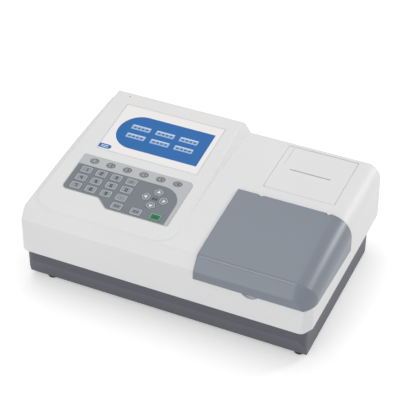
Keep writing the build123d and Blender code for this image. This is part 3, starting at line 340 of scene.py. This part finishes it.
screen_white = lit_panel("display_front_white", "EFEDEB", glow=0.06)
screen_blue = lit_panel("display_lit_blue", "0F66AE", glow=0.02)
screen_tag = lit_panel("display_lit_tag", "9DBBDD", glow=0.03)
screen_tag_mark = lit_panel("display_tag_mark", "3A659F", glow=0.02)
screen_tag_light = lit_panel("display_tag_light", "DCE8F5", glow=0.04)
# painted shade: a grey ring that stands for the shade at the display window's recessed edge
display_recess_shade = lit_panel("display_recess_painted_shade", "C4C5C8", glow=0.0)
print("display colours ready")

# %% [markdown]
# ## Optical glass
# The interference filters are thin glass discs whose coating shows violet or amber as the light turns.
# A slow change of hue over each disc stands for that coating.

# %% Filter glass
filter_glass, tree, place = new_finish("coated_filter_glass")
hue = add_node(tree, "ShaderNodeTexNoise", {"Scale": 1 / (14 * MM), "Detail": 0.0}, {"Vector": place})
tint = add_node(
    tree, "ShaderNodeMix", {6: srgb("7A4FA8"), 7: srgb("C08A3E")}, {0: hue.outputs["Fac"]}, data_type="RGBA"
)
glass = add_node(
    tree, "ShaderNodeBsdfPrincipled", {"IOR": 1.5, "Roughness": 0.05, "Metallic": 0.4, "Coat Weight": 0.6},
    {"Base Color": tint.outputs[2]},
)
close_finish(tree, glass.outputs["BSDF"])

# %% [markdown]
# ## Give every solid its finish
# The drawing's solids keep their shape, so a finish is all they need: the list below pairs each with what
# the real piece is made of. Keys get their ink further down, because a key's face is printed.

# %% Finishes of the solids
finish_of = {
    "top_shell": white_abs, "printer_door": door_abs, "base_tray": base_abs, "plate_lid": lid_abs,
    "rubber_feet": foot_rubber, "rear_panel": powder_coat, "power_inlet": black_abs,
    "power_rocker": black_abs, "data_ports": plated_sheet, "fan_frame": black_abs, "fan_rotor": black_abs,
    "power_supply": plated_sheet, "main_board": board_mask, "display_window": screen_white,
    "display_module": chamber_abs, "keypad_overlay": foil_light, "keypad_board": board_mask,
    "chamber_liner": chamber_abs, "chassis_plate": milled_aluminium, "guide_rods": chromed_rod,
    "plate_carrier": anodised_carrier, "carrier_bushes": turned_bronze, "drive_motor": painted_motor,
    "filter_motor": painted_motor, "drive_pulley": turned_aluminium, "idler_pulley": turned_aluminium,
    "drive_belt": belt_rubber, "lamp_module": black_anodised, "filter_wheel": black_anodised,
    "optical_filters": filter_glass, "optics_bridge": black_anodised, "detector_board": black_anodised,
    "printer_frame": chamber_abs, "platen_roller": roller_rubber, "case_screws": chromed_rod,
}
for name, node in nodes.items():
    if name.startswith("function_key"):
        finish = ink_round
    elif name in ("key_up", "key_left", "key_down", "key_right"):
        finish = ink_arrow
    elif name == "key_start":
        finish = ink_green
    elif name.startswith("key_"):
        finish = ink_key
    else:
        finish = finish_of[name]
    node.data.materials.clear()
    node.data.materials.append(finish)
print("finished solids:", len(nodes))

# %% [markdown]
# ## The console's own plane
# Display and keypad lie on a face that is tilted by 7 degrees. It is easier to draw on that face as on
# paper: one matrix carries x to the right, y up the slope and z off the face, and every print is drawn flat.

# %% Console plane
TILT = math.radians(7.0)
CONSOLE_Z = 123.9 + 125.0 * math.tan(TILT)
console = Matrix((
    (1, 0, 0, 0),
    (0, math.cos(TILT), -math.sin(TILT), 0),
    (0, math.sin(TILT), math.cos(TILT), CONSOLE_Z * MM),
    (0, 0, 0, 1),
))


def slope_y(y):
    """Distance up the slope for a depth y of the drawing."""
    return y / math.cos(TILT)


print("console plane crosses the middle at", round(CONSOLE_Z, 2), "mm")

# %% [markdown]
# ## Outlines
# Prints are outlines filled with ink. Rounded rectangles, ovals and rounded polygons cover all of them. A
# second outline, drawn inside the first and turned into a hole, makes a ring. Outlines are lists of points
# in millimetres, so the same few functions serve the keys, the foil and the display.

# %% Outline functions
def rounded(points, radii, steps=6):
    """Polygon with rounded corners; radii is one number or one for each corner."""
    count = len(points)
    radii = radii if isinstance(radii, (list, tuple)) else [radii] * count
    outline = []
    for i, radius in enumerate(radii):
        before, corner, after = (Vector(points[(i + k) % count]) for k in (-1, 0, 1))
        a, b = (before - corner).normalized(), (after - corner).normalized()
        half = a.angle(b) / 2
        if radius <= 0:
            outline.append(tuple(corner))
            continue
        reach = radius / math.tan(half)
        centre = corner + (a + b).normalized() * (radius / math.sin(half))
        start, end = corner + a * reach - centre, corner + b * reach - centre
        turn = start.angle_signed(end)
        for k in range(steps + 1):
            spoke = start.copy()
            spoke.rotate(Matrix.Rotation(-turn * k / steps, 2))
            outline.append(tuple(centre + spoke))
    return outline


def box_outline(x0, x1, y0, y1, radius=0.0):
    """Rounded rectangle between two corners."""
    return rounded([(x0, y0), (x1, y0), (x1, y1), (x0, y1)], radius)


def oval(x, y, width, height, count=40):
    """Oval around a point."""
    turns = [2 * math.pi * k / count for k in range(count)]
    return [(x + width / 2 * math.cos(t), y + height / 2 * math.sin(t)) for t in turns]


def inset(outline, amount):
    """The outline moved inwards by amount; it has to run anticlockwise."""
    moved = []
    count = len(outline)
    for i in range(count):
        before, here, after = (Vector(outline[(i + k) % count]) for k in (-1, 0, 1))
        edge_in, edge_out = (here - before).normalized(), (after - here).normalized()
        normal = Vector((-edge_in.y - edge_out.y, edge_in.x + edge_out.x))
        if normal.length < 1e-6:
            moved.append(tuple(here))
            continue
        normal.normalize()
        square = max(0.5, normal.dot(Vector((-edge_in.y, edge_in.x))))
        moved.append(tuple(here + normal * (amount / square)))
    return moved


# %% [markdown]
# ## A print as a thin solid
# Ink could be a texture, but a texture needs an image or a map. A print of 0.03 mm with real edges is
# simpler: the filled outline is cut into triangles, its holes included, and given a rim.

# %% Make a print
def make_print(name, outlines, finish, body, lift_mm, place=None, thick_mm=0.03):
    """Thin solids on the console's face: each entry is a list of an outer outline and its holes."""
    mesh = bpy.data.meshes.new(name)
    build = bmesh.new()
    top, low = lift_mm * MM, (lift_mm - thick_mm) * MM
    for loops in outlines:
        flat = [[Vector((x * MM, y * MM, 0)) for x, y in loop] for loop in loops]
        points = [v for loop in flat for v in loop]
        upper = [build.verts.new((v.x, v.y, top)) for v in points]
        lower = [build.verts.new((v.x, v.y, low)) for v in points]
        for a, b, c in tessellate_polygon(flat):
            build.faces.new((upper[a], upper[b], upper[c]))
            build.faces.new((lower[c], lower[b], lower[a]))
        start = 0
        for loop in flat:
            for k in range(len(loop)):
                i, j = start + k, start + (k + 1) % len(loop)
                build.faces.new((upper[i], lower[i], lower[j], upper[j]))
            start += len(loop)
    bmesh.ops.recalc_face_normals(build, faces=build.faces)
    build.to_mesh(mesh)
    build.free()
    mesh.transform(place or console)
    piece = bpy.data.objects.new(name, mesh)
    bpy.context.scene.collection.objects.link(piece)
    mesh.materials.append(finish)
    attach(piece, body)
    return piece


# %% [markdown]
# ## Sizes of the keys
# The keys' places repeat the drawing, so that each print lands on its key. A print's outline is the key's
# own, moved in a little, because the key's edge is rounded off by 0.4 mm.

# %% Key places
RECT_W, RECT_H = 16.2, 12.0
ROUND_W, ROUND_H = 13.4, 10.4
block_names = ("1", "2", "3", "clear", "4", "5", "6", "0", "7", "8", "9", "point")
rect_keys = {
    f"key_{name}": (-162.6 + (i % 4) * 23.5, -35.3 - (i // 4) * 16.4) for i, name in enumerate(block_names)
}
for i, name in enumerate(("menu", "back", "start")):
    rect_keys[f"key_{name}"] = (-90.6 + 29.2 * i, -84.7)
round_keys = {f"function_key_{i + 1}": (-160.0 + 25.85 * i, -15.6) for i in range(6)}
ARROW_CENTRE, ARROW_REACH = (-47.8, -53.2), 13.9
arrow_keys = {}
for i, name in enumerate(("key_up", "key_left", "key_down", "key_right")):
    angle = math.radians(90 * i)
    x = ARROW_CENTRE[0] - ARROW_REACH * math.sin(angle)
    y = ARROW_CENTRE[1] + ARROW_REACH * math.cos(angle)
    arrow_keys[name] = (x, y, 90 * i)


def key_rectangle(x, y, grow=0.0):
    """Outline of a rectangular key on the console's face."""
    y = slope_y(y)
    return box_outline(
        x - RECT_W / 2 - grow, x + RECT_W / 2 + grow, y - RECT_H / 2 - grow, y + RECT_H / 2 + grow,
        max(0.3, 2.0 + grow),
    )


def key_arrow(x, y, turn, grow=0.0):
    """Outline of an arrow key that points along its turn."""
    half, tip = 15.6 / 2, 13.4 / 2
    shape = [(0, tip), (-half, 1.0), (-half * 0.55, -tip), (half * 0.55, -tip), (half, 1.0)]
    outline = inset(rounded(shape, 2.6), -grow)
    angle = math.radians(turn)
    c, s = math.cos(angle), math.sin(angle)
    return [(x + px * c - py * s, slope_y(y) + px * s + py * c) for px, py in outline]


print("keys:", len(rect_keys) + len(round_keys) + len(arrow_keys))

# %% [markdown]
# ## The slate area of the keypad
# The foil is light grey. A darker slate area lies behind the number keys and the arrows, with a wide curve
# at its upper right and a step at its lower left, where the foil itself steps. The keys come through it.

# %% Slate area
OVERLAY_TOP = 0.2
slate = rounded(
    [(-179.3, slope_y(-78.0)), (-121.5, slope_y(-78.0)), (-103.1, slope_y(-93.6)), (-15.5, slope_y(-93.6)),
     (-15.5, slope_y(-26.2)), (-179.3, slope_y(-26.2))],
    [7.0, 8.0, 8.0, 0, 30.0, 1.0], steps=12,
)
holes = [key_rectangle(x, y, 0.32) for x, y in rect_keys.values()]
holes += [key_arrow(x, y, turn, 0.32) for x, y, turn in arrow_keys.values()]
make_print("keypad_slate_print", [[slate] + holes], foil_dark, "case", OVERLAY_TOP + 0.04)

# %% [markdown]
# ## Key faces
# Each number key has a pale border, a thin line inside it and a grey field. The function keys are ovals with
# a dark ring, the arrow keys have a pale border, and the start key is green. The prints ride on their keys,
# so they go down with them.

# %% Borders of the keys
KEY_TOP = 0.6
BORDER_LIFT, MARK_LIFT = KEY_TOP + 0.03, KEY_TOP + 0.04
EDGE_MM, BORDER_MM = 0.42, 0.9
for name, (x, y) in rect_keys.items():
    outer = inset(key_rectangle(x, y), EDGE_MM)
    edge_ink, line_ink, key_slot = ink_key_edge, ink_key_line, "key_grey"
    if name == "key_start":
        edge_ink, line_ink, key_slot = ink_green_edge, ink_green_dark, "key_green"
    border = [[outer, inset(outer, BORDER_MM)]]
    make_print(name + "_border", border, edge_ink, name + "_body", BORDER_LIFT)
    inner = inset(outer, 0.95)
    line = [[inner, inset(inner, 0.35)]]
    make_print(name + "_line", line, line_ink, name + "_body", BORDER_LIFT)
for name, (x, y) in round_keys.items():
    outer = oval(x, slope_y(y), ROUND_W - 0.9, ROUND_H - 0.9)
    inner = oval(x, slope_y(y), ROUND_W - 4.6, ROUND_H - 4.2)
    make_print(name + "_ring", [[outer, inner]], ink_round_ring, name + "_body", BORDER_LIFT)
for name, (x, y, turn) in arrow_keys.items():
    outer = inset(key_arrow(x, y, turn), EDGE_MM)
    border = [[outer, inset(outer, BORDER_MM)]]
    make_print(name + "_border", border, ink_arrow_edge, name + "_body", BORDER_LIFT)
print("borders printed")

# %% [markdown]
# ## Marks on the keys
# The block carries plain numbers, drawn with a few straight strokes each, as a plotter would. Other keys
# get plain marks: bars, a dot and arrow heads. A stroke is a thin rectangle between two points.

# %% Strokes and numbers
def stroke(a, b, width):
    """Outline of a straight stroke between two points."""
    a, b = Vector(a), Vector(b)
    along = (b - a).normalized() * (width / 2)
    side = Vector((-along.y, along.x))
    return [tuple(p) for p in (a - along - side, b + along - side, b + along + side, a - along + side)]


# segments of a plain digit, each between two corners of a 2 by 4 grid
segments = {
    "a": ((0, 2), (1, 2)), "b": ((1, 1), (1, 2)), "c": ((1, 0), (1, 1)), "d": ((0, 0), (1, 0)),
    "e": ((0, 0), (0, 1)), "f": ((0, 1), (0, 2)), "g": ((0, 1), (1, 1)),
}
digits = {
    "0": "abcdef", "1": "bc", "2": "abged", "3": "abgcd", "4": "fgbc", "5": "afgcd", "6": "afgedc",
    "7": "abc", "8": "abcdefg", "9": "gfabcd",
}


def digit_strokes(digit, x, y, width=2.8, height=5.0, pen=1.2):
    """Strokes of one digit centred on a point."""
    shapes = []
    for letter in digits[digit]:
        ends = [(x + (u - 0.5) * width, y + (v / 2 - 0.5) * height) for u, v in segments[letter]]
        shapes.append([stroke(ends[0], ends[1], pen)])
    return shapes


for name, (x, y) in rect_keys.items():
    y = slope_y(y)
    label = name[4:]
    ink, key_slot = ink_dark, "key_grey"
    if label in digits:
        marks = digit_strokes(label, x, y)
    elif label == "point":
        marks = [[oval(x, y - 0.6, 1.5, 1.5, 16)]]
    elif label == "clear":
        marks = [[stroke((x - 3.4, y + k), (x + 3.4 - 0.8 * abs(k), y + k), 0.7)] for k in (-1.3, 1.3)]
    else:
        marks = [[stroke((x - 3.6, y + k), (x - 0.6, y + k), 0.8)] for k in (-1.6, 0, 1.6)]
        marks += [[stroke((x + 0.8, y + k), (x + 3.6, y + k), 0.8)] for k in (-1.6, 0, 1.6)]
    if label == "start":
        ink, key_slot = ink_green_dark, "key_green"
    make_print(name + "_mark", marks, ink, name + "_body", MARK_LIFT)
for name, (x, y) in round_keys.items():
    y = slope_y(y)
    marks = [[stroke((x - 2.2, y - 1.4), (x - 2.2, y + 1.4), 0.7)]]
    marks += digit_strokes(name[-1], x + 1.1, y, 1.8, 3.2, 0.9)
    make_print(name + "_mark", marks, ink_dark, name + "_body", MARK_LIFT)
for name, (x, y, turn) in arrow_keys.items():
    y = slope_y(y)
    head = [(0, 2.9), (-3.0, -1.9), (3.0, -1.9)]
    c, s = math.cos(math.radians(turn)), math.sin(math.radians(turn))
    head = [(x + px * c - py * s, y + px * s + py * c) for px, py in head]
    make_print(name + "_mark", [[rounded(head, 0.4, 3)]], ink_white, name + "_body", MARK_LIFT)
marks = []
for k in range(4):
    x, y = ARROW_CENTRE[0] - 3.2 + 2.1 * k, slope_y(ARROW_CENTRE[1])
    marks.append([stroke((x, y - 1.7), (x, y + 1.7), 1.3)])
make_print("arrow_centre_mark", marks, ink_dark, "case", OVERLAY_TOP + 0.07)
print("marks printed")

# %% [markdown]
# ## The picture on the display
# The lit picture is a blue field with a half-round left end, on white. Six pale buttons stand on it in two
# rows, each with four plain bars, and a small blue tag sits in the lower left corner. They are prints in
# the plane of the window, one a hair above the other so that none fights for the same place.

# %% Display picture
WINDOW_TOP = 0.0
left, right, low, high = -160.6, -22.0, slope_y(25.8), slope_y(94.5)
bulge, waist = 33.0, (low + high) / 2
arc = [math.pi / 2 + math.pi * k / 32 for k in range(33)]
field = [(left + bulge + bulge * math.cos(t), waist + (high - low) / 2 * math.sin(t)) for t in arc]
field += [(right, low), (right, high)]
make_print("display_blue_field", [[field]], screen_blue, "case", WINDOW_TOP + 0.04)
# painted shade: a thin grey ring where the window's recessed edge meets the shell
frame_line = box_outline(-170.9, -14.3, slope_y(11.2), slope_y(111.0), 1.0)
make_print(
    "display_recess_painted_shade", [[frame_line, inset(frame_line, 0.5)]], display_recess_shade, "case", WINDOW_TOP + 0.04,
)

tags, tag_marks, tag_lights = [], [], []
for y0, y1 in ((65.0, 74.5), (46.5, 55.8)):
    for x0, x1 in ((-143.3, -113.8), (-105.0, -76.0), (-67.5, -38.8)):
        y0s, y1s = slope_y(y0), slope_y(y1)
        tags.append([box_outline(x0, x1, y0s, y1s, 1.0)])
        tag_lights.append([box_outline(x0 + 0.8, x1 - 0.8, y1s - 2.0, y1s - 0.8, 0.3)])
        for k in range(4):
            cx, cy = x0 + 5.4 + 6.2 * k, (y0s + y1s) / 2 - 0.5
            tag_marks.append([box_outline(cx - 2.2, cx + 2.2, cy - 1.5, cy + 1.5, 0.4)])
make_print("display_buttons", tags, screen_tag, "case", WINDOW_TOP + 0.08)
make_print("display_button_lights", tag_lights, screen_tag_light, "case", WINDOW_TOP + 0.11)
make_print("display_button_marks", tag_marks, screen_tag_mark, "case", WINDOW_TOP + 0.11)

corner_tag = rounded(
    [(-170.6, slope_y(14.0)), (-151.4, slope_y(14.0)), (-151.4, slope_y(22.5)), (-170.6, slope_y(22.5))],
    [0.5, 4.1, 4.1, 0.5],
)
make_print("display_corner_tag", [[corner_tag]], screen_blue, "case", WINDOW_TOP + 0.04)
corner_bars = [[stroke((-166.6, slope_y(y)), (-156.6, slope_y(y)), 1.3)] for y in (16.8, 19.6)]
make_print("display_corner_bars", corner_bars, screen_tag_light, "case", WINDOW_TOP + 0.08)
print("display picture drawn")

# %% [markdown]
# ## Lines that follow a surface
# Fine lines lie on the lid and the printer door: a painted highlight, a lighter ribbon where the lid's top
# breaks into its front band, and the edge of the inner frame that shows beside the printer door. Each is a
# ribbon under a millimetre wide. Rays sent down onto the solid find its height at every step, so the ribbon
# follows the curve without touching the solid.

# %% Lay a line
def lay_line(name, start, end, width_mm, finish, node, body, lift_mm=0.05, steps=24):
    """Thin ribbon from start to end (x and y in mm) that lies on the top of a solid."""
    mesh = nodes[node].data
    surface = BVHTree.FromPolygons([v.co for v in mesh.vertices], [p.vertices for p in mesh.polygons])
    a, b = Vector(start) * MM, Vector(end) * MM
    side = Vector((a.y - b.y, b.x - a.x)).normalized() * (width_mm / 2 * MM)
    build = bmesh.new()
    rows = []
    for k in range(steps + 1):
        middle_point = a.lerp(b, k / steps)
        row = []
        for offset in (-1, 1):
            p = middle_point + side * offset
            hit = surface.ray_cast(Vector((p.x, p.y, 0.5)), Vector((0, 0, -1)))[0]
            for rise in (lift_mm, lift_mm - 0.04):
                row.append(build.verts.new((p.x, p.y, hit.z + rise * MM)))
        rows.append(row)
    for low_row, high_row in zip(rows, rows[1:]):
        for i, j in ((0, 2), (2, 3), (3, 1), (1, 0)):
            build.faces.new((low_row[i], low_row[j], high_row[j], high_row[i]))
    for row in (rows[0], rows[-1]):
        build.faces.new((row[0], row[2], row[3], row[1]))
    bmesh.ops.recalc_face_normals(build, faces=build.faces)
    ribbon = bpy.data.meshes.new(name)
    build.to_mesh(ribbon)
    build.free()
    ribbon.materials.append(finish)
    piece = bpy.data.objects.new(name, ribbon)
    bpy.context.scene.collection.objects.link(piece)
    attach(piece, body)
    return piece


# painted highlight: a light ribbon along the lid's crease, where its top breaks into the front band
lay_line(
    "lid_crease_painted_highlight", (52.0, -127.2), (203.0, -127.2), 0.8, lid_crease_highlight, "plate_lid", "lid"
)
lay_line(
    "door_frame_line", (86.0, 89.5), (86.0, 130.0), 0.5, shell_line_abs, "printer_door", "paper_door",
)
lay_line(
    "door_corner_mark", (78.3, 33.4), (80.2, 33.4), 1.0, shell_line_abs, "printer_door", "paper_door",
)
print("lines laid")

# %% [markdown]
# ## The studio
# The photograph was taken on a white sweep with large soft lamps. The floor is a plain pale sheet that
# keeps the reader's soft shadow, and a faint glow that only the camera sees lifts it to white. The world is
# an even pale grey for the light and plain white for the camera and for reflections.

# %% Floor
def seen_directly(tree):
    """One for what the camera sees, also in gloss or through glass, and nothing for the light on objects."""
    path = add_node(tree, "ShaderNodeLightPath")
    either = add_node(
        tree, "ShaderNodeMath", links={0: path.outputs["Is Camera Ray"], 1: path.outputs["Is Glossy Ray"]},
        operation="MAXIMUM",
    )
    any_of = add_node(
        tree, "ShaderNodeMath", links={0: either.outputs[0], 1: path.outputs["Is Transmission Ray"]},
        operation="MAXIMUM",
    )
    return any_of.outputs[0]


floor_mesh = bpy.data.meshes.new("floor")
REACH_M = 6.0
corners = [(x * REACH_M, y * REACH_M, 0) for x, y in ((-1, -1), (1, -1), (1, 1), (-1, 1))]
floor_mesh.from_pydata(corners, [], [(0, 1, 2, 3)])
floor = bpy.data.objects.new("floor", floor_mesh)
bpy.context.scene.collection.objects.link(floor)
floor_finish, tree, place = new_finish("white_sweep")
paper = add_node(tree, "ShaderNodeBsdfDiffuse", {"Color": srgb("F0F0F0")})
FLOOR_GLOW = 0.36
lift = add_node(tree, "ShaderNodeMath", {1: FLOOR_GLOW}, {0: seen_directly(tree)}, operation="MULTIPLY")
glow = add_node(tree, "ShaderNodeEmission", {"Color": (1, 1, 1, 1)}, {"Strength": lift.outputs[0]})
both = add_node(tree, "ShaderNodeAddShader", links={0: paper.outputs[0], 1: glow.outputs[0]})
close_finish(tree, both.outputs[0])
floor_mesh.materials.append(floor_finish)

# %% World light
world = bpy.data.worlds.new("studio")
bpy.context.scene.world = world
world.use_nodes = True
tree = world.node_tree
tree.nodes.clear()
WORLD_LIGHT = 0.55
level = add_node(
    tree, "ShaderNodeMapRange", {"To Min": WORLD_LIGHT, "To Max": 1.0}, {"Value": seen_directly(tree)}
)
sky = add_node(tree, "ShaderNodeBackground", {"Color": (1, 1, 1, 1)}, {"Strength": level.outputs["Result"]})
add_node(tree, "ShaderNodeOutputWorld", links={"Surface": sky.outputs[0]})

# %% [markdown]
# ## Lamps
# A large soft lamp above and behind on the left lights the top faces, and another low in front keeps the
# front faces nearly as light. A weak one on the right lifts the lid's end, and a small one low behind on the
# right leaves a bright line where the lid rounds over. The large ones are bigger than the reader, so the
# shadows have no edge.

# %% Lamps
def soft_lamp(name, position, target, width, watts):
    """Square area lamp that looks at a point."""
    data = bpy.data.lights.new(name, "AREA")
    data.shape = "SQUARE"
    data.size = width
    data.energy = watts
    lamp = bpy.data.objects.new(name, data)
    lamp.location = position
    lamp.rotation_euler = (Vector(target) - Vector(position)).to_track_quat("-Z", "Y").to_euler()
    bpy.context.scene.collection.objects.link(lamp)
    return lamp


middle = (0.0, 0.0, 0.08)
soft_lamp("top_lamp", (-0.5, 0.5, 1.9), middle, 1.6, 9.0)
soft_lamp("front_lamp", (-0.6, -2.2, 0.9), middle, 1.4, 13.5)
soft_lamp("right_lamp", (1.9, -0.2, 1.1), middle, 0.7, 2.5)
soft_lamp("rim_lamp", (1.35, 1.35, 0.85), middle, 0.5, 9.0)

# %% [markdown]
# ## The camera
# The straight edges in the photograph give the camera back: it stands 2.06 m away, 38 degrees up and 24
# degrees round to the right, with a long lens. A long lens keeps the body's edges nearly parallel.

# %% Camera
camera_data = bpy.data.cameras.new("camera")
camera_data.sensor_width = 36.0
camera_data.lens = 1413.64 * 36.0 / 400.0
camera = bpy.data.objects.new("camera", camera_data)
camera_at = Vector((637.1, -1412.7, 1330.0)) * MM
looks_at = Vector((-31.93, 61.65, 54.0)) * MM
camera.location = camera_at
camera.rotation_euler = (looks_at - camera_at).to_track_quat("-Z", "Y").to_euler()
bpy.context.scene.collection.objects.link(camera)
bpy.context.scene.camera = camera
bpy.context.scene.view_settings.view_transform = "Standard"
print("camera lens", round(camera_data.lens, 1), "mm")
